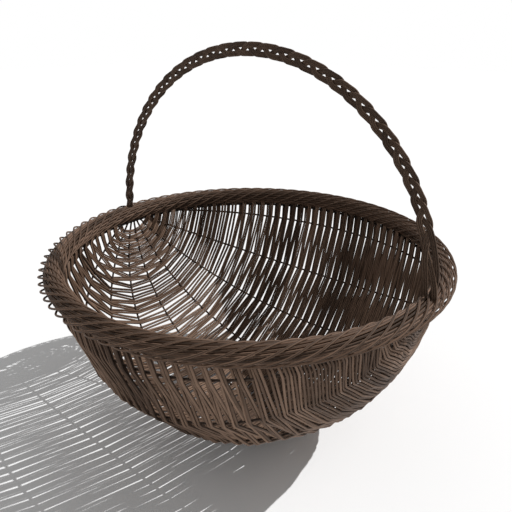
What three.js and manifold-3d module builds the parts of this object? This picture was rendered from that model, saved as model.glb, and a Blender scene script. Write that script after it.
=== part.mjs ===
import * as THREE from 'three';
import { mergeVertices } from 'three/addons/utils/BufferGeometryUtils.js';
import Module from 'manifold-3d';

// Round bottom basket of dark cane. Nine ribs run as half circles from one foot of the handle to the
// other, flat bands of cane are woven to and fro across them, and a rope-like border and a plaited
// handle finish it. Millimetres, +Z up. The origin is on the ground under the middle of the bowl, and
// the handle stands over the X axis. An angle from the pole is measured along a rib, from the foot on
// the +X side. An angle around is a rib's own, from the rim plane on the +Y side down and under.

// Driving sizes, in millimetres
const clearance = 0.3;
const rimRadius = 200;
const borderRadius = 10;
const borderLayLength = 105;
const bowlInset = 4;
const ribDiameter = 2.4;
const rodDiameter = 3;
const bandThickness = 2;
const bandSideGap = 1.1;
const poleOpening = 21.5;
const turnSlack = 1.5;
const rodNearSpan = 8;
const archOutset = 1;
const handleWidth = 12.5;
const plaitStrandDiameter = 2.9;
const plaitPeriodLength = 52.6;
const restFlatDepth = 0.5;
const restFlatHalfLength = 7;

// Counts
const borderStrandCount = 6;
const borderStepsPerTurn = 6;
const borderStrandSides = 4;
const coreSegments = 36;
const coreSides = 5;
const rodSegments = 60;
const rodSides = 4;
const ribCount = 9;
const ribFacets = 20;
const ribSides = 4;
const weaverCount = 25;
const passesPerWeaver = 4;
const plaitStrandCount = 3;
const plaitStepsPerPeriod = 6;
const plaitStrandSides = 5;
const footCutterSides = 24;

// Places that follow from the sizes. The ribs of the bowl lie a little inside the rim circle, and the
// middle of the handle a little outside it
const bowlRadius = rimRadius - bowlInset;
const archRadius = rimRadius + archOutset;
const ribRadius = ribDiameter / 2;
const rodRadius = rodDiameter / 2;
const bandOffset = ribRadius + clearance + bandThickness / 2;
const rimHeight = bowlRadius + bandOffset + bandThickness / 2 - restFlatDepth;
const rodDistance = bowlRadius + ribRadius + clearance + rodRadius;
const turnTop = borderRadius + clearance;
const rodDepth = turnTop + bandThickness + clearance + rodRadius;
const rodRingRadius = Math.sqrt(rodDistance ** 2 - rodDepth ** 2);
const ribTopDepth = turnTop + bandThickness + clearance + ribRadius;
const turnReachOutside = rodRadius + clearance + bandThickness / 2 + turnSlack;
const turnReachInside = rodDistance - bowlRadius + bandOffset;
const bandReachPastRod = turnReachOutside + rodDistance - bowlRadius;

// A closed surface through rings of points, each ring counter-clockwise seen from ahead
function surfaceThroughRings(rings, closesOnItself) {
  const sides = rings[0].length;
  const faces = [];
  const runs = closesOnItself ? rings.length : rings.length - 1;
  for (let i = 0; i < runs; i += 1) {
    const here = i * sides;
    const ahead = ((i + 1) % rings.length) * sides;
    for (let k = 0; k < sides; k += 1) {
      const after = (k + 1) % sides;
      faces.push(here + k, here + after, ahead + after);
      faces.push(here + k, ahead + after, ahead + k);
    }
  }
  if (!closesOnItself) {
    const last = (rings.length - 1) * sides;
    for (let k = 1; k < sides - 1; k += 1) {
      faces.push(0, k + 1, k);
      faces.push(last, last + k, last + k + 1);
    }
  }
  const geometry = new THREE.BufferGeometry();
  const positions = rings.flat().flatMap((point) => point.toArray());
  geometry.setAttribute('position', new THREE.Float32BufferAttribute(positions, 3));
  geometry.setIndex(faces);
  geometry.computeVertexNormals();
  return geometry;
}

// A rod of even thickness along points; firstAxes say which way the first corner of each ring looks
function rodAlong(points, firstAxes, radius, sides, closesOnItself) {
  const count = points.length;
  const rings = points.map((point, i) => {
    const before = closesOnItself ? points[(i + count - 1) % count] : points[Math.max(i - 1, 0)];
    const after = closesOnItself ? points[(i + 1) % count] : points[Math.min(i + 1, count - 1)];
    const ahead = after.clone().sub(before).normalize();
    const first = firstAxes[i].clone().projectOnPlane(ahead).normalize();
    const second = ahead.clone().cross(first);
    return Array.from({ length: sides }, (_, k) => {
      const turn = (2 * Math.PI * k) / sides;
      return point.clone()
        .addScaledVector(first, radius * Math.cos(turn))
        .addScaledVector(second, radius * Math.sin(turn));
    });
  });
  return surfaceThroughRings(rings, closesOnItself);
}

// The value between low and high from which a test holds
function valueFrom(test, low, high) {
  let fails = low;
  let holds = high;
  let middle = (fails + holds) / 2;
  while (middle !== fails && middle !== holds) {
    if (test(middle)) holds = middle;
    else fails = middle;
    middle = (fails + holds) / 2;
  }
  return holds;
}

// Manifold is used for the one cut: the feet of the handle on the border
const wasm = await Module();
wasm.setup();

function toSolid(geometry) {
  const bare = geometry.clone();
  bare.deleteAttribute('normal');
  bare.deleteAttribute('uv');
  const merged = mergeVertices(bare);
  return new wasm.Manifold(new wasm.Mesh({
    numProp: 3,
    vertProperties: new Float32Array(merged.attributes.position.array),
    triVerts: new Uint32Array(merged.index.array),
  }));
}

function toGeometry(solid) {
  const mesh = solid.getMesh();
  const geometry = new THREE.BufferGeometry();
  geometry.setAttribute('position', new THREE.Float32BufferAttribute(mesh.vertProperties, 3));
  geometry.setIndex(Array.from(mesh.triVerts));
  geometry.computeVertexNormals();
  return geometry;
}

// The bowl's own polar places. Along a rib the bowl has flat facets, so the distance of its surface
// from the centre is least half way along a facet
function ribDistance(fromPole) {
  const facet = Math.PI / ribFacets;
  const facetMiddle = (Math.floor(fromPole / facet) + 0.5) * facet;
  return (bowlRadius * Math.cos(facet / 2)) / Math.cos(fromPole - facetMiddle);
}

function bowlPoint(distance, fromPole, around) {
  return new THREE.Vector3(
    distance * Math.cos(fromPole),
    distance * Math.sin(fromPole) * Math.cos(around),
    rimHeight - distance * Math.sin(fromPole) * Math.sin(around),
  );
}

function ribAngle(number) {
  return (Math.PI * (number - 0.5)) / ribCount;
}

// The border: strands that wind round a core, with their corners meeting at the same places, so the
// strands fit between the core and each other with one clearance. A crest lies right on top of the
// border and one right under it at each step, where the handle and the turned bands meet it
const borderTurns = Math.round((2 * Math.PI * rimRadius) / borderLayLength);
const borderSteps = borderTurns * borderStepsPerTurn;
const borderStrandsTouch = (strandRadius) => {
  const reach = borderRadius - strandRadius;
  const lay = Math.hypot(1, (borderTurns * reach) / rimRadius);
  const spacing = (2 * reach * Math.sin(Math.PI / borderStrandCount)) / lay;
  return spacing < 2 * strandRadius + clearance;
};
const borderStrandRadius = valueFrom(borderStrandsTouch, 0, borderRadius / 2);
const borderStrandReach = borderRadius - borderStrandRadius;
const coreWander = (rimRadius * (1 - Math.cos(Math.PI / coreSegments))) / 2;
const coreRadius = (borderStrandReach - borderStrandRadius) * Math.cos(Math.PI / borderStepsPerTurn)
  - clearance - coreWander;

function borderStrand(number) {
  const points = [];
  const outward = [];
  for (let i = 0; i < borderSteps; i += 1) {
    const azimuth = (2 * Math.PI * i) / borderSteps;
    const wind = borderTurns * azimuth + (2 * Math.PI * (number + 0.5)) / borderStrandCount;
    const away = new THREE.Vector3(
      Math.cos(wind) * Math.cos(azimuth),
      Math.cos(wind) * Math.sin(azimuth),
      Math.sin(wind),
    );
    const centre = new THREE.Vector3(
      rimRadius * Math.cos(azimuth),
      rimRadius * Math.sin(azimuth),
      rimHeight,
    );
    points.push(centre.addScaledVector(away, borderStrandReach));
    outward.push(away);
  }
  return rodAlong(points, outward, borderStrandRadius, borderStrandSides, true);
}

// A ring that lies level, the border's core or the rod that the weavers turn round. Its corners lie a
// little outside the true circle and its straight sides a little inside
function levelRing(ringRadius, height, thickness, segments, sides) {
  const cornerRadius = (2 * ringRadius) / (1 + Math.cos(Math.PI / segments));
  const points = [];
  const outward = [];
  for (let i = 0; i < segments; i += 1) {
    const azimuth = (2 * Math.PI * i) / segments;
    const away = new THREE.Vector3(Math.cos(azimuth), Math.sin(azimuth), 0);
    points.push(away.clone().multiplyScalar(cornerRadius).setZ(height));
    outward.push(away);
  }
  return rodAlong(points, outward, thickness, sides, true);
}

// Weaving: the passes lie side by side from one pole to the other, with a gap between their bands
const firstEdge = poleOpening / bowlRadius;
const wovenLength = bowlRadius * (Math.PI - 2 * firstEdge);
const passCount = weaverCount * passesPerWeaver;
const passPitch = wovenLength / passCount;
const passAngle = passPitch / bowlRadius;
const bandWidth = passPitch - bandSideGap;

// Two passes lie over each other where a rib parts them, and side by side half way to the next rib.
// They come together by the sway, which keeps them clear of each other while they change places
const changeShare = (1 - (bandThickness + clearance) / (2 * bandOffset)) / 2;
const pairSpan = (bandWidth + clearance - 2 * passPitch * changeShare) / (1 - 2 * changeShare);
const sway = Math.max(0, (passPitch - pairSpan) / 2);

function isOutside(pass, rib) {
  return (pass + rib) % 2 === 1;
}

// The first rib below the rim rod, for passes that turn round the rod at this angle from the pole
function firstRibBelowRod(fromPole) {
  let rib = 1;
  while (bowlRadius * Math.sin(fromPole) * Math.sin(ribAngle(rib)) < rodDepth) rib += 1;
  return rib;
}

// The corners of a band's section: up or down through its thickness, then across its width
const bandCorners = [[1, -1], [1, 1], [-1, 1], [-1, -1]];

function bandRing(fromPole, around, side, face, reach) {
  return bandCorners.map(([up, across]) => {
    const cornerFromPole = fromPole + (across * bandWidth) / (2 * bowlRadius);
    const distance = ribDistance(cornerFromPole) + side * reach + (face * up * bandThickness) / 2;
    return bowlPoint(distance, cornerFromPole, around);
  });
}

// Where a pass meets a rib. The lowest bands are pressed flat on the ground under the bottom rib
function ribRings(pass, rib, face) {
  const side = isOutside(pass, rib) ? 1 : -1;
  const middle = firstEdge + (pass + 0.5) * passAngle;
  const fromPole = middle + (side * sway) / bowlRadius;
  const around = ribAngle(rib);
  const gapToRod = bowlRadius * Math.sin(fromPole) * Math.sin(around) - rodDepth;
  const nearness = side > 0 ? THREE.MathUtils.clamp(1 - gapToRod / rodNearSpan, 0, 1) : 0;
  const reach = THREE.MathUtils.lerp(bandOffset, bandReachPastRod, nearness);
  const ring = bandRing(fromPole, around, side, face, reach);
  if (ring.every((point) => point.z >= 0)) return [ring];
  const turn = restFlatHalfLength / bowlRadius;
  return [turn, -turn].map((away) => {
    const flat = bandRing(fromPole, around + face * away, side, face, reach);
    bandCorners.forEach(([up], i) => {
      if (face * up > 0) flat[i].setZ(0);
    });
    return flat;
  });
}

// Where a pass bends over the rim rod, under the border, on the shore +1 or -1 of the Y axis
function turnRing(pass, shore, side, face) {
  const fromPole = firstEdge + (pass + 0.5) * passAngle;
  const levelShare = (Math.cos(fromPole) * rodDistance) / rodRingRadius;
  const azimuth = Math.acos(THREE.MathUtils.clamp(levelShare, -1, 1));
  const outward = new THREE.Vector3(Math.cos(azimuth), shore * Math.sin(azimuth), 0);
  const along = new THREE.Vector3(-Math.sin(azimuth), shore * Math.cos(azimuth), 0);
  const reach = side > 0 ? turnReachOutside : turnReachInside;
  return bandCorners.map(([up, across]) => {
    const away = face * up * side;
    const height = rimHeight - turnTop - (away > 0 ? 0 : bandThickness);
    return outward.clone()
      .multiplyScalar(rodRingRadius + side * (reach + (away * bandThickness) / 2))
      .addScaledVector(along, (across * bandWidth) / 2)
      .setZ(height);
  });
}

// A weaver goes to and fro: even passes run from the -Y shore to the +Y shore, odd passes back
function weaver(number) {
  const rings = [];
  for (let i = 0; i < passesPerWeaver; i += 1) {
    const pass = number * passesPerWeaver + i;
    const face = pass % 2 === 0 ? 1 : -1;
    const startRib = firstRibBelowRod(firstEdge + pass * passAngle);
    const endRib = firstRibBelowRod(firstEdge + (pass + 1) * passAngle);
    const ribs = [];
    for (let rib = startRib; rib <= ribCount + 1 - endRib; rib += 1) ribs.push(rib);
    const order = face > 0 ? ribs.map((rib) => ribCount + 1 - rib) : ribs;
    const sideAt = (rib) => (isOutside(pass, rib) ? 1 : -1);
    rings.push(turnRing(pass, -face, sideAt(order[0]), face));
    order.forEach((rib) => rings.push(...ribRings(pass, rib, face)));
    rings.push(turnRing(pass, face, sideAt(order[order.length - 1]), face));
  }
  return surfaceThroughRings(rings, false);
}

// A rib ends under the border at the pole, or under the turned bands where they pass over its end
function ribEnd(around) {
  const underTurns = Math.asin(Math.min(1, ribTopDepth / (bowlRadius * Math.sin(around))));
  if (underTurns > firstEdge) return underTurns;
  const clearOfBorder = (fromPole) => {
    const end = bowlPoint(ribDistance(fromPole), fromPole, around);
    const level = Math.hypot(end.x, end.y) - rimRadius;
    return Math.hypot(level, end.z - rimHeight) > borderRadius + clearance + ribRadius;
  };
  return valueFrom(clearOfBorder, 0, firstEdge);
}

function rib(number) {
  const around = ribAngle(number);
  const facet = Math.PI / ribFacets;
  const end = ribEnd(around);
  const stops = [end];
  for (let i = 1; i < ribFacets; i += 1) {
    if (i * facet > end && i * facet < Math.PI - end) stops.push(i * facet);
  }
  stops.push(Math.PI - end);
  const points = stops.map((stop) => bowlPoint(ribDistance(stop), stop, around));
  const middle = new THREE.Vector3(0, 0, rimHeight);
  const outward = points.map((point) => point.clone().sub(middle).normalize());
  return rodAlong(points, outward, ribRadius, ribSides, false);
}

// The handle: each strand of the plait sways from edge to edge once a period and passes over and
// under the other two between, and its feet are cut to sit on the border. Two strands come closest a
// little before they cross, so where they cross they lie two clearances apart
const plaitPeriods = Math.round((Math.PI * archRadius) / plaitPeriodLength);
const plaitSteps = plaitPeriods * plaitStepsPerPeriod;
const plaitSway = (handleWidth - plaitStrandDiameter) / 2;
const plaitLift = (plaitStrandDiameter + 2 * clearance)
  / (2 * Math.sin(Math.PI / plaitStrandCount));

function footCutter(shore) {
  const cutter = new THREE.CylinderGeometry(
    borderRadius + clearance,
    borderRadius + clearance,
    handleWidth * 2,
    footCutterSides,
  );
  return toSolid(cutter.translate(shore * rimRadius, 0, rimHeight));
}

function handleStrand(number) {
  const points = [];
  const outward = [];
  for (let i = 0; i <= plaitSteps; i += 1) {
    const rise = (Math.PI * i) / plaitSteps;
    const phase = (2 * Math.PI * (i + 0.5)) / plaitStepsPerPeriod
      + (2 * Math.PI * number) / plaitStrandCount;
    const away = new THREE.Vector3(Math.cos(rise), 0, Math.sin(rise));
    const reach = archRadius + plaitSway * Math.sin(phase);
    const point = away.clone().multiplyScalar(reach);
    points.push(point.setY(plaitLift * Math.sin(2 * phase)).setZ(point.z + rimHeight));
    outward.push(away);
  }
  const whole = toSolid(rodAlong(points, outward, plaitStrandDiameter / 2, plaitStrandSides, false));
  return toGeometry(whole.subtract(footCutter(1)).subtract(footCutter(-1)));
}

// The assembly, in the browns of dark cane
const basket = new THREE.Group();

function addPiece(name, geometry, color) {
  const material = new THREE.MeshStandardMaterial({ color, roughness: 0.7, metalness: 0 });
  const piece = new THREE.Mesh(geometry, material);
  piece.name = name;
  basket.add(piece);
}

for (let i = 0; i < borderStrandCount; i += 1) {
  addPiece(`border_strand_${i + 1}`, borderStrand(i), i % 2 ? 0x5d4a3e : 0x544237);
}
addPiece(
  'rim_core',
  levelRing(rimRadius, rimHeight, coreRadius, coreSegments, coreSides),
  0x3f322b,
);
addPiece(
  'rim_rod',
  levelRing(rodRingRadius, rimHeight - rodDepth, rodRadius, rodSegments, rodSides),
  0x3f322b,
);
for (let i = 1; i <= ribCount; i += 1) {
  addPiece(`rib_${i}`, rib(i), 0x332823);
}
for (let i = 0; i < weaverCount; i += 1) {
  addPiece(`weaver_${String(i + 1).padStart(2, '0')}`, weaver(i), i % 2 ? 0x5f4d42 : 0x564539);
}
for (let i = 0; i < plaitStrandCount; i += 1) {
  addPiece(`handle_strand_${i + 1}`, handleStrand(i), 0x5a463b);
}

export default basket;
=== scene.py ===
import bpy
import numpy as np
from mathutils import Matrix, Vector


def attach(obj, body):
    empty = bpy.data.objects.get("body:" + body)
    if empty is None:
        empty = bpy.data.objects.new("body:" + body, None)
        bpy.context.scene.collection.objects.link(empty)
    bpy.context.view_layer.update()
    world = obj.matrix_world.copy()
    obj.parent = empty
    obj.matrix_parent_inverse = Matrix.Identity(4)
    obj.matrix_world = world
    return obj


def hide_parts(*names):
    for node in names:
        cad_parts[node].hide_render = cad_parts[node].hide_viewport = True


# Round bottom basket of dark cane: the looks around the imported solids. Metres, +Z up, the origin
# on the ground under the middle of the bowl, the handle over the X axis. An angle from the pole is
# measured along a rib from the foot of the handle on the +X side, and an angle around from the +Y
# side of the rim, which is the back, down and under to the front, as in the part's source.

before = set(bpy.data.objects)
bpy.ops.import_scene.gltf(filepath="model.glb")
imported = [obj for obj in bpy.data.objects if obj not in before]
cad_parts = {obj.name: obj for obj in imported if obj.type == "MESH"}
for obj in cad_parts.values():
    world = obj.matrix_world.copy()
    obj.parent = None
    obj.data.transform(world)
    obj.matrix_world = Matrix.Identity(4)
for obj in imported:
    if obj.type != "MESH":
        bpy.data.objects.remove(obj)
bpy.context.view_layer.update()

MM = 0.001
FULL_TURN = 2 * np.pi

# Sizes that the solids have too
RIM_RADIUS = 200 * MM
RIM_HEIGHT = 199 * MM
BOWL_RADIUS = 196 * MM
ARCH_RADIUS = 201 * MM
POLE_OPENING = 21.5 * MM
RIB_RADIUS = 1.2 * MM
ROD_RADIUS = 1.5 * MM
RIB_COUNT = 9
WEAVER_COUNT = 25

# Canes of the wall, how they bend, and how far they wander: a whole pass along the ribs, a cane
# along a rib and half way to the next, and a cane away from the bowl
CANES_PER_BAND = 2
CANE_SIDES = 8
CANE_THICKNESSES = (0.97, 1.03)
CANE_TONES = (0.05, 0.95)
BEND_REACH = 2.4 * MM
BEND_LIMIT = 0.45
BEND_STEPS = 3
WANDER_OF_PASS = 0.15 * MM
WANDER_AT_RIB = 0.1 * MM
WANDER_BETWEEN_RIBS = 0.12 * MM
WANDER_OUTWARD = 0.55 * MM

# The last weavers, at the foot of the handle on the -X side, have more canes, closer and thinner
# by these shares
FIRST_FINE_WEAVER = 22
FINE_CANES_PER_BAND = 3
FINE_SPACING = 0.69
FINE_THICKNESS = 0.68

# The weave is not even: so many passes lie below each of these angles from the pole, low in the
# bowl and near the rim. A rib is near the rim while the sine of its angle around is less than the
# first depth, and low in the bowl from the second depth on
PASS_COUNT = 94
MARKED_PASSES = [0, 21, 25, 27, 37, 67, 73, 74, 75, 76, 77, 78, 79, 80, 81, 82, 83, 93, PASS_COUNT]
LOW_ANGLES = np.radians([
    6.285, 43.4, 51.8, 55.6, 72.3, 120.5, 131.9, 134.2, 136.7, 138.1, 140.6, 142.6, 144.4, 146.5,
    148.8, 151.1, 153.5, 171.6, 173.715,
])
HIGH_ANGLES = np.radians([
    6.285, 43.4, 51.8, 55.6, 72.3, 120.5, 132.1, 134.3, 137.4, 138.8, 141.4, 143.2, 145.0, 147.0,
    148.9, 151.2, 153.5, 171.6, 173.715,
])
HIGH_DEPTH = 0.55
LOW_DEPTH = 0.8


def of_each_pass(passes, lengths):
    """A length in metres for each pass, on straight lines between those of the named passes, which
    are in millimetres."""
    return np.interp(np.arange(PASS_COUNT), passes, lengths) * MM


# Of each pass: the radius of a cane low in the bowl and near the rim, how far the pass lies
# outside or inside a rib, how much farther out the whole pass lies, how far it sways at the ribs
# and at the rim rod on the front, how far at the rim rod on the back, and how far apart its canes
# lie low in the bowl and near the rim
LOW_RADII = of_each_pass([20, 22, 65, 66, 82, 83], [1.4, 1.36, 1.36, 1.4, 1.38, 1.5])
HIGH_RADII = of_each_pass(
    [20, 22, 65, 66, 73, 74, 76, 77, 80, 81, 82, 83, 86, 89],
    [1.16, 1.36, 1.36, 1.44, 1.44, 1.62, 1.62, 1.53, 1.53, 1.62, 1.62, 1.36, 1.34, 1.55],
)
OFFSETS = of_each_pass([22, 24, 26], [0.5, 1.5, 1.9])
OUTWARD = of_each_pass([19, 24], [1.5, 0])
SWAYS = of_each_pass(
    [20, 21, 22, 24, 26, 30, 37, 45, 53, 60, 65, 73, 74, 82, 83, 85, 88],
    [0.1, 0.4, 0.3, -0.9, -1.3, -1.25, -0.85, -0.36, 0.3, 0.85, 1.05, 1.2, 0.4, 0.4, 1.7, 1.6, 0.8],
)
BACK_ROD_SWAYS = of_each_pass(
    [21, 25, 30, 37, 45, 53, 60, 65, 73, 74, 82, 83, 88],
    [-3.5, -3.6, -3.2, -2.2, -1.45, -0.85, -0.1, 0.5, 0.9, 0.3, 0.8, 1.4, 0.9],
)
SPACED_PASSES = [20, 21, 22, 24, 65, 66, 73, 74, 75, 76, 77, 78, 79, 80, 81, 82, 83, 87]
LOW_SPACINGS = of_each_pass(SPACED_PASSES, [
    3.0, 3.5, 3.5, 2.7, 2.6, 2.95, 2.95, 3.4, 1.8, 4.0, 2.8, 2.8, 2.9, 3.2, 3.6, 3.0, 2.9, 3.1,
])
HIGH_SPACINGS = of_each_pass(SPACED_PASSES, [
    3.0, 3.5, 3.5, 2.7, 2.6, 2.95, 2.95, 4.4, 1.8, 4.0, 2.9, 2.9, 2.9, 3.1, 4.4, 3.1, 2.9, 3.1,
])

# One pass parts wide low at the back and pushes the next ones along
PARTED_PASS = 76
PARTED_ANGLE = np.radians(84)
PARTED_REACH = np.radians(16)
PARTED_BY = 3.2 * MM
PUSHED_PASSES = [75, 76, 77, 80]
PUSHED_BY = np.radians([0, 0.5, 0.75, 0])

# On the front all passes lean a little, at the rim rod the other way. They also wander outward
# there, by a share of the outward wander that changes from one named pass to the other, and bulge
# outward by the swell times as much. Those near the foot of the handle on the +X side are bent to
# and fro
LEAN = np.radians(-0.8)
LEAN_AT_ROD = np.radians(1.2)
ROUGH_PASSES = [60, 75]
ROUGH_SHARES = [1, 0.3]
ROUGH_SWELL = 1.8
BENT_PASSES = [21, 23]
BENT_SHARES = [1, 0]
BENT_ANGLES = np.radians([90, 110, 130, 150, 170])
BENT_BY = np.radians([0, -0.4, -1.1, 0.6, -0.7])

# The rim rod lies on the ribs' own sphere, and the canes bend close over it
ROD_DEPTH = 11.6 * MM
ROD_RING_RADIUS = np.sqrt(BOWL_RADIUS**2 - ROD_DEPTH**2)
ROD_SIDES = 12
ROD_TONE = 0.5
TURN_REACH = ROD_RADIUS + LOW_RADII[0]
TURN_BEND_REACH = 2.6 * MM

# The ribs stop this far short of the poles
RIB_STEPS = 120
RIB_END = 4 * MM / BOWL_RADIUS
RIB_TONES = (0.3, 0.7)

# Border: long canes with a slow twist round dark ones that fill the inside, whose darkest tone is
# painted shade seen through the gaps of the border, and eight canes wound over them, each of which
# ends where the third one after it starts. These lie tighter near one azimuth, and round another
# the border's low outer side is lifted
BORDER_STEPS = 300
BORDER_CANE_TURNS = 2
BORDER_DROP = 0.9 * MM
BORDER_LIFT = 2.8 * MM
LIFTED_AT = np.radians(-62)
LIFTED_WIND = np.radians(-45)
LIFT_WIDTH = 1.5
LONG_CANES = 18
LONG_CANE_RADIUS = 1.15 * MM
LONG_CANE_REACH = 7.9 * MM
LONG_CANE_UP = 8.5 * MM
LONG_CANE_SHIFT = -0.4 * MM
LONG_CANE_THICKNESSES = (0.85, 1.15)
INNER_CANES = 9
INNER_CANE_RADIUS = 1.9 * MM
INNER_CANE_REACH = 5.2 * MM
INNER_CANE_SIDES = 6
# The core canes take the darkest tone: painted shade for the gaps of the border
INNER_CANE_SHADE_TONE = 0.0
BORDER_TONES = (0.1, 1.0)
OVER_CANES = 8
OVER_CANE_TURNS = 9.375
OVER_CANE_RADIUS = 0.98 * MM
OVER_CANE_ACROSS = 11.3 * MM
OVER_CANE_UP = 10.1 * MM
OVER_CANE_SHIFT = 1.2 * MM
OVER_CANE_STEPS = 540
OVER_CANE_CREST = np.radians(238.55)
OVER_CANE_GROUPS = [(0, 1), (2, 3), (4,), (5,), (6,), (7,)]
TIGHTER_BY = 0.9 * MM
TIGHTER_AT = np.radians(25)

# Handle: a flat plait of three strands. Above the foot on the +X side it is loose up to an angle,
# and less and less over a blend beyond it, both in radians: there its phase runs at a slower rate,
# it is wider by a share and lies nearer the middle
PLAIT_STRANDS = 3
PLAIT_CANES = 3
PLAIT_STEPS = 300
PLAIT_PERIODS = 12
PLAIT_START = 1 / 12
PLAIT_SHIFT = 0.3 * MM
PLAIT_SWAY = 3.85 * MM
PLAIT_SECOND_WAVE = 0.03
PLAIT_THIRD_WAVE = 0.14
PLAIT_GATHER = 0.2
PLAIT_LIFT = 1.15 * MM
PLAIT_CANE_RADIUS = 0.9 * MM
PLAIT_CANE_SPACING = 1.72 * MM
PLAIT_TONES = (0.2, 0.8)
LOOSE_END = 0.28
LOOSE_BLEND = 0.12
LOOSE_RATE = 0.3
LOOSE_SPREAD = 0.18
LOOSE_SHIFT = 0.6 * MM

# Finish of a cane. The fibres' scale is round the cane in u and for each metre along it in v
CANE_ROUGHNESS = 0.6
CANE_SPECULAR = 0.15
FIBRE_SCALE = (5, 60, 1)
FIBRE_DETAIL = 4
PATCH_SCALE = 45
PATCH_DETAIL = 3
PATCH_SHARE = 0.6
RIDGE_STRENGTH = 0.35
RIDGE_HEIGHT = 0.15 * MM
# Painted shade in the crevices between canes: how far round each cane it reaches, in |sin w|, and
# the share of the colour left where it is darkest
SIDE_PAINTED_SHADE_REACH = 0.85
SIDE_PAINTED_SHADE = 0.25

# Stage and camera, fitted to the photograph
FLOOR_HALF = 6.0
FLOOR_GREY = 0.94
SUN_AZIMUTH = np.radians(55.7)
SUN_ELEVATION = np.radians(46.1)
SUN_STRENGTH = 3.2
SUN_WIDTH = np.radians(0.53)
SKY_STRENGTH = 0.375
SENSOR_WIDTH = 36
PHOTO_WIDTH = 512
FOCAL_PIXELS = 517.138
CAMERA_PLACE = Vector((0.331196, -0.396380, 0.414028))
LOOK_AT = Vector((-0.081162, 0.112452, 0.130294))

rng = np.random.default_rng(23)


def unit(vectors):
    """Each vector v divided by its length, v / |v|."""
    return vectors / np.linalg.norm(vectors, axis=-1, keepdims=True)


def between(start, end, share):
    """start + (end - start) share."""
    return start + (end - start) * share


def rounded(corners, across, radius, reach, steps):
    """An open path with corners P_k rounded. Between A = P_k + r_k (P_(k-1) - P_k) / |P_(k-1) -
    P_k| and B = P_k + r_k (P_(k+1) - P_k) / |P_(k+1) - P_k| it is the parabola (1 - t)^2 A + 2 t
    (1 - t) P_k + t^2 B, for t from 0 to 1. The reach r_k stays under a limit, a share of the
    shorter side. The across vectors and the radius stay those of P_k."""
    before = corners[:-2] - corners[1:-1]
    after = corners[2:] - corners[1:-1]
    shorter = np.minimum(np.linalg.norm(before, axis=1), np.linalg.norm(after, axis=1))
    length = np.minimum(reach[1:-1], shorter * BEND_LIMIT)[:, None]
    start = (corners[1:-1] + unit(before) * length)[:, None]
    end = (corners[1:-1] + unit(after) * length)[:, None]
    t = np.linspace(0, 1, steps + 1)[None, :, None]
    bends = (1 - t) ** 2 * start + 2 * t * (1 - t) * corners[1:-1, None] + t**2 * end
    path = np.concatenate([corners[:1], bends.reshape(-1, 3), corners[-1:]])
    inner = np.repeat(np.arange(1, len(corners) - 1), steps + 1)
    corner = np.concatenate([[0], inner, [-1]])
    return path, across[corner], radius[corner]


def tube(path, across, radius, sides, tone, closed=False):
    """A round cane along points P_i. With T_i the mean direction of the path at P_i, N = T x
    across and B = N x T, its surface is P_i + radius (cos w B + sin w N), w = 2 pi k / sides."""
    steps = unit(np.roll(path, -1, axis=0) - path)
    if closed:
        ahead = unit(steps + np.roll(steps, 1, axis=0))
    else:
        steps[-1] = steps[-2]
        ahead = unit(steps + np.concatenate([steps[:1], steps[:-1]]))
    normal = unit(np.cross(ahead, across))
    beside = np.cross(normal, ahead)
    w = np.arange(sides) * FULL_TURN / sides
    thickness = np.broadcast_to(radius, len(path))[:, None, None]
    ring = np.cos(w)[None, :, None] * beside[:, None] + np.sin(w)[None, :, None] * normal[:, None]
    count = len(path)
    runs = count if closed else count - 1
    starts = np.arange(runs)[:, None] * sides
    here = (starts + np.arange(sides)[None]).reshape(-1)
    after = (starts + (np.arange(sides)[None] + 1) % sides).reshape(-1)
    wrap = count * sides
    quads = np.stack([here, after, (after + sides) % wrap, (here + sides) % wrap], axis=1)
    length = np.concatenate([[0], np.cumsum(np.linalg.norm(np.diff(path, axis=0), axis=1))])
    length = np.append(length, length[-1] + np.linalg.norm(path[0] - path[-1]))
    k = np.tile(np.arange(sides), runs)
    i = np.repeat(np.arange(runs), sides)
    u = np.stack([k, k + 1, k + 1, k], axis=1) / sides
    v = np.stack([length[i], length[i], length[i + 1], length[i + 1]], axis=1)
    caps = []
    if not closed:
        caps = [np.arange(sides)[::-1], np.arange(sides) + (count - 1) * sides]
    return {
        "points": (path[:, None] + thickness * ring).reshape(-1, 3),
        "quads": quads,
        "caps": caps,
        "uv": np.stack([u, v], axis=-1),
        "tone": tone,
    }


def cane_piece(name, tubes, finish, slot, *nodes):
    """One piece out of several canes. Its UV map runs round each cane in u and along it in metres
    in v, and its tone attribute is one number for each cane."""
    starts = np.cumsum([0] + [len(t["points"]) for t in tubes])
    points = np.concatenate([t["points"] for t in tubes])
    quads = np.concatenate([t["quads"] + s for t, s in zip(tubes, starts)])
    caps = [cap + s for t, s in zip(tubes, starts) for cap in t["caps"]]
    sides = len(caps[0]) if caps else 0
    corners = np.concatenate([quads.reshape(-1)] + caps)
    firsts = np.concatenate([
        np.arange(len(quads)) * 4,
        len(quads) * 4 + np.arange(len(caps)) * sides,
    ])
    uv = np.concatenate(
        [t["uv"].reshape(-1, 2) for t in tubes] + [np.zeros((len(caps) * sides, 2))]
    ).astype(np.float32)
    tone = np.concatenate([np.full(len(t["points"]), t["tone"], np.float32) for t in tubes])
    mesh = bpy.data.meshes.new(name)
    mesh.vertices.add(len(points))
    mesh.vertices.foreach_set("co", points.astype(np.float32).reshape(-1))
    mesh.loops.add(len(corners))
    mesh.loops.foreach_set("vertex_index", corners.astype(np.int32))
    mesh.polygons.add(len(firsts))
    mesh.polygons.foreach_set("loop_start", firsts.astype(np.int32))
    mesh.polygons.foreach_set("use_smooth", np.ones(len(firsts), bool))
    mesh.update(calc_edges=True)
    mesh.uv_layers.new(name="cane_uv").uv.foreach_set("vector", uv.reshape(-1))
    mesh.attributes.new("tone", "FLOAT", "POINT").data.foreach_set("value", tone)
    mesh.materials.append(finish)
    piece = bpy.data.objects.new(name, mesh)
    bpy.context.scene.collection.objects.link(piece)
    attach(piece, "root")
    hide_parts(*nodes)
    return piece


# Finishes


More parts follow.
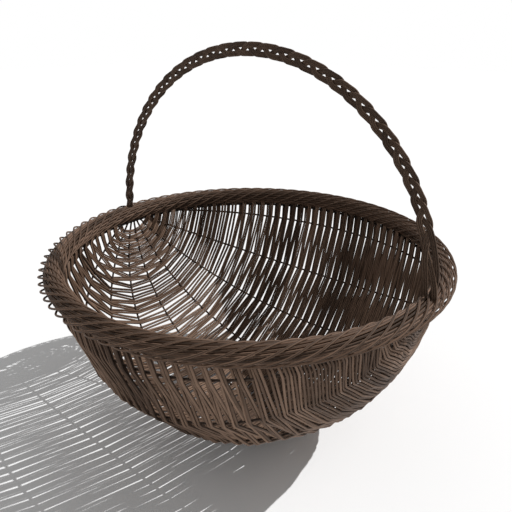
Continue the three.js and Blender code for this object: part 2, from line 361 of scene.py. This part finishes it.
def join_math(tree, operation, *values):
    """The output of a Math node that joins the values, each a number or a socket, by the
    operation."""
    node = tree.nodes.new("ShaderNodeMath")
    node.operation = operation
    for socket, value in zip(node.inputs, values):
        if isinstance(value, bpy.types.NodeSocket):
            tree.links.new(value, socket)
        else:
            socket.default_value = value
    return node.outputs[0]


def noise(tree, place, scale, detail):
    """The output of a Noise Texture node at the place, a socket with the coordinates."""
    node = tree.nodes.new("ShaderNodeTexNoise")
    node.inputs["Scale"].default_value = scale
    node.inputs["Detail"].default_value = detail
    tree.links.new(place, node.inputs["Vector"])
    return node.outputs["Fac"]


def cane_finish(name, dark, light, grain):
    """Cane: its colour runs from dark to light with the tone of each cane, fibres that run along
    the cane and patches in the object's space: dark + (light - dark) (tone + grain (fibres - 1/2)
    + share (patches - 1/2)), with fine ridges along the cane. Round it, painted shade darkens it
    toward the two sides that lie against its neighbours, where the crevices between canes fall in
    shade: with w = 2 pi u the colour is scaled from the painted shade level to 1 by a smooth step
    of
    |sin w| over the reach."""
    material = bpy.data.materials.new(name)
    material.use_nodes = True
    tree = material.node_tree
    nodes, links = tree.nodes, tree.links
    shader = nodes["Principled BSDF"]
    shader.inputs["Roughness"].default_value = CANE_ROUGHNESS
    shader.inputs["Specular IOR Level"].default_value = CANE_SPECULAR
    tone = nodes.new("ShaderNodeAttribute")
    tone.attribute_name = "tone"
    uv = nodes.new("ShaderNodeUVMap")
    uv.uv_map = "cane_uv"
    stretch = nodes.new("ShaderNodeMapping")
    stretch.inputs["Scale"].default_value = FIBRE_SCALE
    links.new(uv.outputs["UV"], stretch.inputs["Vector"])
    place = nodes.new("ShaderNodeTexCoord")
    fibres = noise(tree, stretch.outputs["Vector"], 1, FIBRE_DETAIL)
    patches = noise(tree, place.outputs["Object"], PATCH_SCALE, PATCH_DETAIL)

    fibre_share = join_math(tree, "MULTIPLY_ADD", fibres, grain, -grain / 2)
    patch_share = join_math(tree, "MULTIPLY_ADD", patches, PATCH_SHARE, -PATCH_SHARE / 2)
    with_tone = join_math(tree, "ADD", fibre_share, tone.outputs["Fac"])
    total = join_math(tree, "ADD", with_tone, patch_share)
    total.node.use_clamp = True
    colour = nodes.new("ShaderNodeMix")
    colour.data_type = "RGBA"
    colour.inputs["A"].default_value = (*dark, 1)
    colour.inputs["B"].default_value = (*light, 1)
    links.new(total, colour.inputs["Factor"])

    # Painted shade: the colour darkens toward the two sides of the cane that lie against its
    # neighbours
    apart = nodes.new("ShaderNodeSeparateXYZ")
    links.new(uv.outputs["UV"], apart.inputs[0])
    angle = join_math(tree, "MULTIPLY", apart.outputs["X"], FULL_TURN)
    outward = join_math(tree, "ABSOLUTE", join_math(tree, "SINE", angle))
    shade = nodes.new("ShaderNodeMapRange")
    shade.interpolation_type = "SMOOTHSTEP"
    shade.inputs["From Max"].default_value = SIDE_PAINTED_SHADE_REACH
    shade.inputs["To Min"].default_value = SIDE_PAINTED_SHADE
    links.new(outward, shade.inputs["Value"])
    shaded = nodes.new("ShaderNodeVectorMath")
    shaded.operation = "SCALE"
    links.new(colour.outputs["Result"], shaded.inputs[0])
    links.new(shade.outputs["Result"], shaded.inputs["Scale"])
    links.new(shaded.outputs[0], shader.inputs["Base Color"])

    bump = nodes.new("ShaderNodeBump")
    bump.inputs["Strength"].default_value = RIDGE_STRENGTH
    bump.inputs["Distance"].default_value = RIDGE_HEIGHT
    links.new(fibres, bump.inputs["Height"])
    links.new(bump.outputs["Normal"], shader.inputs["Normal"])
    return material


weaving_cane = cane_finish("weaving_cane", (0.048, 0.028, 0.018), (0.238, 0.153, 0.106), 0.5)
border_cane = cane_finish("border_cane", (0.053, 0.031, 0.019), (0.206, 0.129, 0.089), 0.5)
rib_cane = cane_finish("rib_cane", (0.028, 0.017, 0.012), (0.075, 0.048, 0.034), 0.4)
rim_cane = cane_finish("rim_cane", (0.016, 0.010, 0.008), (0.044, 0.028, 0.020), 0.4)
handle_cane = cane_finish("handle_cane", (0.048, 0.029, 0.020), (0.176, 0.112, 0.076), 0.5)

# The wall: weavers to and fro over the ribs

FIRST_EDGE = POLE_OPENING / BOWL_RADIUS
WEAVER_ANGLE = (np.pi - 2 * FIRST_EDGE) / WEAVER_COUNT
MIDDLE_PASSES = np.arange(PASS_COUNT) + 0.5
pass_wander = rng.normal(0, WANDER_OF_PASS, PASS_COUNT) / BOWL_RADIUS
LOW_MIDDLES = np.interp(MIDDLE_PASSES, MARKED_PASSES, LOW_ANGLES) + pass_wander
HIGH_MIDDLES = np.interp(MIDDLE_PASSES, MARKED_PASSES, HIGH_ANGLES) + pass_wander
WEAVER_OF_PASS = np.floor((LOW_MIDDLES - FIRST_EDGE) / WEAVER_ANGLE).astype(int)


def bowl_point(distance, from_pole, around):
    """The point at distance d from the middle of the rim, angle s from the pole and angle a
    around: (d cos s, d sin s cos a, rim height - d sin s sin a)."""
    return np.stack([
        distance * np.cos(from_pole),
        distance * np.sin(from_pole) * np.cos(around),
        RIM_HEIGHT - distance * np.sin(from_pole) * np.sin(around),
    ], axis=-1)


def bowl_across(from_pole, around):
    """The direction in which the angle from the pole grows, (-sin s, cos s cos a, -cos s sin
    a)."""
    return np.stack([
        -np.sin(from_pole) + 0 * around,
        np.cos(from_pole) * np.cos(around),
        -np.cos(from_pole) * np.sin(around),
    ], axis=-1)


def rib_angle(number):
    """The angle around of a rib. They stand evenly round the half turn, pi (n - 1/2) / 9."""
    return np.pi * (number - 0.5) / RIB_COUNT


def low_share(around):
    """From 0 near the rim to 1 low in the bowl, (sin a - high depth) / (low depth - high
    depth)."""
    return np.clip((np.sin(around) - HIGH_DEPTH) / (LOW_DEPTH - HIGH_DEPTH), 0, 1)


def front_share(around):
    """0 on the back, and on the front -2 cos a up to 1."""
    return np.clip(-2 * np.cos(around), 0, 1)


def first_rib_below_rod(from_pole):
    """The first rib whose depth under the rim, R sin s sin a, is at least the rod's."""
    depths = BOWL_RADIUS * np.sin(from_pole) * np.sin(rib_angle(np.arange(1, RIB_COUNT + 1)))
    return int(np.argmax(depths >= ROD_DEPTH)) + 1


def ribs_of_pass(turn):
    """The ribs that a pass meets below the rod, from back to front, or for an even pass from front
    to back, where 10 - n takes the place of n."""
    edges = np.interp([turn, turn + 1], MARKED_PASSES, HIGH_ANGLES)
    start, end = first_rib_below_rod(edges[0]), first_rib_below_rod(edges[1])
    ribs = np.arange(start, RIB_COUNT + 2 - end)
    return ribs if turn % 2 else RIB_COUNT + 1 - ribs


def turn_point(from_pole, shore, side, shift):
    """Where a cane bends over the rim rod: on the azimuth whose cosine is cos s times the bowl's
    radius over the rod's ring radius, outside or inside the rod by the reach, moved along the rod
    by shift. The shore is 1 on the back and -1 on the front."""
    azimuth = np.arccos(np.clip(np.cos(from_pole) * BOWL_RADIUS / ROD_RING_RADIUS, -1, 1))
    outward = np.array([np.cos(azimuth), shore * np.sin(azimuth), 0])
    along = np.array([-np.sin(azimuth), shore * np.cos(azimuth), 0])
    point = outward * (ROD_RING_RADIUS + side * TURN_REACH) + along * shift
    point[2] = RIM_HEIGHT - ROD_DEPTH + TURN_REACH
    return point, along


def in_turn(at_ribs, half_way):
    """The rows of both in turn, r_1, h_1, r_2, h_2 and so on to the last r."""
    rows = np.empty((len(at_ribs) + len(half_way), 3))
    rows[::2], rows[1::2] = at_ribs, half_way
    return rows


def cane_pass(turn, place, thickness):
    """One pass of a cane: its corners, the direction across it there, its radius and how far it
    bends. At a rib it lies outside or inside by side * offset, at the middle of the pass, plus
    what leans, pushes and bends it there, plus (place * spacing - side * sway) / R, where place, 0
    in the middle, sets it beside its fellows. Half way to the next rib it passes through the mean
    of the two. At each end it bends over the rim rod."""
    face = 1 if turn % 2 == 0 else -1
    ribs = ribs_of_pass(turn)
    side = np.where((turn + ribs) % 2 == 0, 1, -1)
    around = rib_angle(ribs)
    low = low_share(around)
    front = front_share(around)

    middle = between(HIGH_MIDDLES[turn], LOW_MIDDLES[turn], low)
    spacing = between(HIGH_SPACINGS[turn], LOW_SPACINGS[turn], low)
    parting = np.exp(-((around - PARTED_ANGLE) / PARTED_REACH) ** 2)
    if turn == PARTED_PASS:
        spacing = spacing + PARTED_BY * parting
    middle = middle + np.interp(turn, PUSHED_PASSES, PUSHED_BY) * parting
    middle = middle + LEAN * front
    bent = np.interp(turn, BENT_PASSES, BENT_SHARES)
    middle = middle + bent * np.interp(around, BENT_ANGLES, BENT_BY)
    beside = place * spacing
    at_rib = middle + (beside - side * SWAYS[turn]) / BOWL_RADIUS
    at_rib = at_rib + rng.normal(0, WANDER_AT_RIB, len(ribs)) / BOWL_RADIUS

    rough = WANDER_OUTWARD * np.interp(turn, ROUGH_PASSES, ROUGH_SHARES) * front
    distance = BOWL_RADIUS + OUTWARD[turn] + side * OFFSETS[turn]
    distance = distance + rng.normal(ROUGH_SWELL * rough, rough)
    points = bowl_point(distance, at_rib, around)
    across = bowl_across(at_rib, around)
    half_way = (points[1:] + points[:-1]) / 2
    half_across = unit(across[1:] + across[:-1])
    half_way = half_way + half_across * rng.normal(0, WANDER_BETWEEN_RIBS, (len(half_way), 1))
    outward = rng.normal(0, (rough[1:] + rough[:-1]) / 2)[:, None]
    half_way = half_way + outward * unit(half_way - [0, 0, RIM_HEIGHT])

    ends = middle[[0, -1]] + LEAN_AT_ROD * front[[0, -1]]
    first_sway, last_sway = BACK_ROD_SWAYS[turn], SWAYS[turn]
    if face > 0:
        first_sway, last_sway = last_sway, first_sway
    first_shift = beside[0] - side[0] * first_sway
    last_shift = beside[-1] - side[-1] * last_sway
    first, along_first = turn_point(ends[0], -face, side[0], first_shift)
    last, along_last = turn_point(ends[1], face, side[-1], last_shift)

    woven = in_turn(points, half_way)
    at_low = between(HIGH_RADII[turn], LOW_RADII[turn], low)
    woven_radii = np.interp(np.arange(len(woven)) / 2, np.arange(len(low)), at_low)
    return (
        np.concatenate([first[None], woven, last[None]]),
        np.concatenate([along_first[None], in_turn(across, half_across), along_last[None]]),
        thickness * np.concatenate([at_low[:1], woven_radii, at_low[-1:]]),
        np.concatenate([[TURN_BEND_REACH], np.full(len(woven), BEND_REACH), [TURN_BEND_REACH]]),
    )


def weaver_cane(number, place, thickness):
    """One cane of a weaver, through every pass whose middle lies in the weaver's part of the wall:
    its passes one after another with every corner rounded, and kept above the ground by its
    radius."""
    turns = np.flatnonzero(WEAVER_OF_PASS == number)
    passes = zip(*[cane_pass(turn, place, thickness) for turn in turns])
    path, across, radius = rounded(*[np.concatenate(rows) for rows in passes], BEND_STEPS)
    path[:, 2] = np.maximum(path[:, 2], radius)
    return tube(path, across, radius, CANE_SIDES, rng.uniform(*CANE_TONES))


for number in range(WEAVER_COUNT):
    fine = number >= FIRST_FINE_WEAVER
    count = FINE_CANES_PER_BAND if fine else CANES_PER_BAND
    places = (FINE_SPACING if fine else 1) * (np.arange(count) - (count - 1) / 2)
    share = FINE_THICKNESS if fine else 1
    canes = [weaver_cane(number, place, share * rng.uniform(*CANE_THICKNESSES)) for place in places]
    name = f"{number + 1:02d}"
    cane_piece(f"weaver_canes_{name}", canes, weaving_cane, "weaving_cane", f"weaver_{name}")

# Ribs and the rim rod

for number in range(1, RIB_COUNT + 1):
    from_pole = np.linspace(RIB_END, np.pi - RIB_END, RIB_STEPS)
    around = np.full(RIB_STEPS, rib_angle(number))
    path = bowl_point(BOWL_RADIUS, from_pole, around)
    across = np.stack([0 * around, -np.sin(around), -np.cos(around)], axis=-1)
    rod = tube(path, across, RIB_RADIUS, ROD_SIDES, rng.uniform(*RIB_TONES))
    cane_piece(f"rib_rod_{number}", [rod], rib_cane, "rib_cane", f"rib_{number}")


def ring_path(azimuth, wind, across, up, shift):
    """Points round the rim: wind w at azimuth a gives the radius rim + shift + across cos w and
    the height rim height - drop + up sin w. On the front, where a is near L, the low outer side is
    raised by lift min(max(width cos(a - L), 0), 1) max(cos(w - lifted wind), 0)^2."""
    radius = RIM_RADIUS + shift + across * np.cos(wind)
    share = np.clip(LIFT_WIDTH * np.cos(azimuth - LIFTED_AT), 0, 1)
    lifted = BORDER_LIFT * share * np.maximum(np.cos(wind - LIFTED_WIND), 0) ** 2
    return np.stack([
        radius * np.cos(azimuth), radius * np.sin(azimuth),
        RIM_HEIGHT - BORDER_DROP + up * np.sin(wind) + lifted,
    ], axis=-1)


def ring_away(azimuth, wind):
    """The direction away from the rim's own line, (cos w cos a, cos w sin a, sin w)."""
    return np.stack([
        np.cos(wind) * np.cos(azimuth), np.cos(wind) * np.sin(azimuth), np.sin(wind),
    ], axis=-1)


azimuth = np.arange(BORDER_STEPS) * FULL_TURN / BORDER_STEPS
level = np.stack([
    ROD_RING_RADIUS * np.cos(azimuth), ROD_RING_RADIUS * np.sin(azimuth),
    np.full(BORDER_STEPS, RIM_HEIGHT - ROD_DEPTH),
], axis=-1)
away = ring_away(azimuth, 0 * azimuth)
rod = tube(level, away, ROD_RADIUS, ROD_SIDES, ROD_TONE, closed=True)
cane_piece("rim_rod_cane", [rod], rim_cane, "rim_cane", "rim_rod")

# The border

canes = []
for i in range(LONG_CANES):
    wind = BORDER_CANE_TURNS * azimuth + FULL_TURN * i / LONG_CANES
    path = ring_path(azimuth, wind, LONG_CANE_REACH, LONG_CANE_UP, LONG_CANE_SHIFT)
    tone = rng.uniform(*BORDER_TONES)
    radius = LONG_CANE_RADIUS * rng.uniform(*LONG_CANE_THICKNESSES)
    canes.append(tube(path, ring_away(azimuth, wind), radius, CANE_SIDES, tone, closed=True))
# The core canes, at the darkest tone as painted shade seen through the border's gaps
for i in range(INNER_CANES):
    wind = BORDER_CANE_TURNS * azimuth + FULL_TURN * i / INNER_CANES
    path = ring_path(azimuth, wind, INNER_CANE_REACH, INNER_CANE_REACH, LONG_CANE_SHIFT)
    canes.append(tube(
        path, ring_away(azimuth, wind), INNER_CANE_RADIUS, INNER_CANE_SIDES, INNER_CANE_SHADE_TONE,
        closed=True,
    ))
cane_piece("border_long_canes", canes, border_cane, "border_cane", "rim_core")

azimuth = np.linspace(0, FULL_TURN, OVER_CANE_STEPS)
across = OVER_CANE_ACROSS - TIGHTER_BY * np.maximum(np.cos(azimuth - TIGHTER_AT), 0) ** 2
for number, group in enumerate(OVER_CANE_GROUPS, start=1):
    canes = []
    for i in group:
        wind = OVER_CANE_TURNS * (azimuth - OVER_CANE_CREST) + FULL_TURN * i / OVER_CANES
        path = ring_path(azimuth, wind, across, OVER_CANE_UP, OVER_CANE_SHIFT)
        tone = rng.uniform(*BORDER_TONES)
        canes.append(tube(path, ring_away(azimuth, wind), OVER_CANE_RADIUS, CANE_SIDES, tone))
    cane_piece(
        f"border_over_canes_{number}", canes, border_cane, "border_cane", f"border_strand_{number}"
    )

# The handle


def plait_strand(number):
    """The canes of one strand of the plait. With r the angle from the foot on the +X side, c = cos
    r, s the share by which the plait is tight there and p the phase, the middle of the strand lies
    at the distance arch radius - shift - loose shift (1 - s) + w (sway f + spacing g sign c) from
    the middle of the rim, and lift sin 2p to the side of the arch. Here w = 1 + loose spread (1 -
    s), f = (sin p + third sin 3p + second c (1 + cos 2p)) / (1 - third), and g = gather max(c sin
    p, 0). Its canes lie side by side, w (1 - g) spacing apart. The phase grows by 2 periods times
    the rate, from the loose one to 1 along the smooth step s^2 (3 - 2 s)."""
    rise = np.linspace(0, np.pi, PLAIT_STEPS)
    cosine = np.cos(rise)
    tight = np.clip((rise - LOOSE_END) / LOOSE_BLEND, 0, 1)
    rate = LOOSE_RATE + (1 - LOOSE_RATE) * tight**2 * (3 - 2 * tight)
    plaited = np.pi - (np.sum(rate) - np.cumsum(rate)) * (rise[1] - rise[0])
    phase = 2 * PLAIT_PERIODS * plaited + FULL_TURN * (number / PLAIT_STRANDS + PLAIT_START)
    wave = np.sin(phase) + PLAIT_THIRD_WAVE * np.sin(3 * phase)
    wave = wave + PLAIT_SECOND_WAVE * cosine * (1 + np.cos(2 * phase))
    wave = wave / (1 - PLAIT_THIRD_WAVE)
    gather = PLAIT_GATHER * np.maximum(cosine * np.sin(phase), 0)
    wide = 1 + LOOSE_SPREAD * (1 - tight)
    sway = PLAIT_SWAY * wave + PLAIT_CANE_SPACING * gather * np.sign(cosine)
    radial = ARCH_RADIUS - PLAIT_SHIFT - LOOSE_SHIFT * (1 - tight) + wide * sway
    middle = np.stack([
        radial * cosine, PLAIT_LIFT * np.sin(2 * phase), RIM_HEIGHT + radial * np.sin(rise),
    ], axis=-1)
    flat = np.broadcast_to([0.0, 1.0, 0.0], middle.shape)
    beside = unit(np.cross(unit(np.gradient(middle, axis=0)), flat))
    canes = []
    for i in range(PLAIT_CANES):
        place = (i - (PLAIT_CANES - 1) / 2) * PLAIT_CANE_SPACING * (wide * (1 - gather))[:, None]
        tone = rng.uniform(*PLAIT_TONES)
        canes.append(tube(middle + beside * place, flat, PLAIT_CANE_RADIUS, CANE_SIDES, tone))
    return canes


for number in range(PLAIT_STRANDS):
    cane_piece(
        f"handle_canes_{number + 1}", plait_strand(number), handle_cane, "handle_cane",
        f"handle_strand_{number + 1}",
    )

# Stage: a plain pale floor, a low sun from behind on the right, and an even sky that looks white

floor_corners = [
    (-FLOOR_HALF, -FLOOR_HALF, 0), (FLOOR_HALF, -FLOOR_HALF, 0),
    (FLOOR_HALF, FLOOR_HALF, 0), (-FLOOR_HALF, FLOOR_HALF, 0),
]
floor_mesh = bpy.data.meshes.new("floor")
floor_mesh.from_pydata(floor_corners, [], [(0, 1, 2, 3)])
floor = bpy.data.objects.new("floor", floor_mesh)
bpy.context.scene.collection.objects.link(floor)
pale = bpy.data.materials.new("floor_pale")
pale.use_nodes = True
paint = pale.node_tree.nodes["Principled BSDF"]
paint.inputs["Base Color"].default_value = (FLOOR_GREY, FLOOR_GREY, FLOOR_GREY, 1)
paint.inputs["Roughness"].default_value = 1
paint.inputs["Specular IOR Level"].default_value = 0
floor_mesh.materials.append(pale)

sun = bpy.data.lights.new("sun", "SUN")
sun.energy = SUN_STRENGTH
sun.angle = SUN_WIDTH
sun_object = bpy.data.objects.new("sun", sun)
bpy.context.scene.collection.objects.link(sun_object)
to_sun = Vector((
    np.cos(SUN_ELEVATION) * np.cos(SUN_AZIMUTH),
    np.cos(SUN_ELEVATION) * np.sin(SUN_AZIMUTH),
    np.sin(SUN_ELEVATION),
))
sun_object.rotation_euler = to_sun.to_track_quat("Z", "Y").to_euler()

world = bpy.data.worlds.new("sky")
bpy.context.scene.world = world
world.use_nodes = True
tree = world.node_tree
sky = tree.nodes["Background"]
sky.inputs["Color"].default_value = (1, 1, 1, 1)
sky.inputs["Strength"].default_value = SKY_STRENGTH
white = tree.nodes.new("ShaderNodeBackground")
white.inputs["Color"].default_value = (1, 1, 1, 1)
white.inputs["Strength"].default_value = 1
kind = tree.nodes.new("ShaderNodeLightPath")
seen = join_math(tree, "MAXIMUM", kind.outputs["Is Camera Ray"], kind.outputs["Is Glossy Ray"])
seen_through = join_math(tree, "MAXIMUM", seen, kind.outputs["Is Transmission Ray"])
choice = tree.nodes.new("ShaderNodeMixShader")
tree.links.new(seen_through, choice.inputs[0])
tree.links.new(sky.outputs[0], choice.inputs[1])
tree.links.new(white.outputs[0], choice.inputs[2])
tree.links.new(choice.outputs[0], tree.nodes["World Output"].inputs["Surface"])

# Camera

camera = bpy.data.cameras.new("camera")
camera.sensor_width = SENSOR_WIDTH
camera.lens = FOCAL_PIXELS / PHOTO_WIDTH * SENSOR_WIDTH
camera.clip_start = 10 * MM
camera_object = bpy.data.objects.new("camera", camera)
bpy.context.scene.collection.objects.link(camera_object)
camera_object.matrix_world = Matrix.Translation(CAMERA_PLACE) @ (
    (CAMERA_PLACE - LOOK_AT).to_track_quat("Z", "Y").to_matrix().to_4x4()
)
bpy.context.scene.camera = camera_object
bpy.context.scene.view_settings.view_transform = "Standard"
